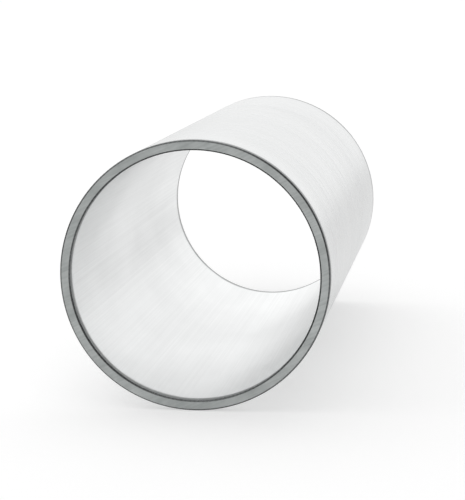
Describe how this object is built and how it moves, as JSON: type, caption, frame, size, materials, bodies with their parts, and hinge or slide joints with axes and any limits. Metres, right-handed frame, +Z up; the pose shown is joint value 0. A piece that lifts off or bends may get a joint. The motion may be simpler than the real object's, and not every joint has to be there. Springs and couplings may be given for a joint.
{
  "type": "stainless steel tube",
  "caption": "Short cut length of plain round stainless steel tube, open at both ends, with square cut ends and lightly deburred edges, lying on its side.",
  "frame": {"origin": "on the floor, midway along the line on which the tube rests", "axes": "+Y along the tube's axis, from the near end to the far end; +Z up; +X to the right of someone who looks along +Y"},
  "size_m": [0.076, 0.2, 0.0761],
  "materials": {
    "stainless_steel": "fine satin ground outside, drawn and pickled inside, sawn and deburred at the ends"
  },
  "bodies": {
    "root": {"tube": "stainless_steel"}
  },
  "joints": []
}
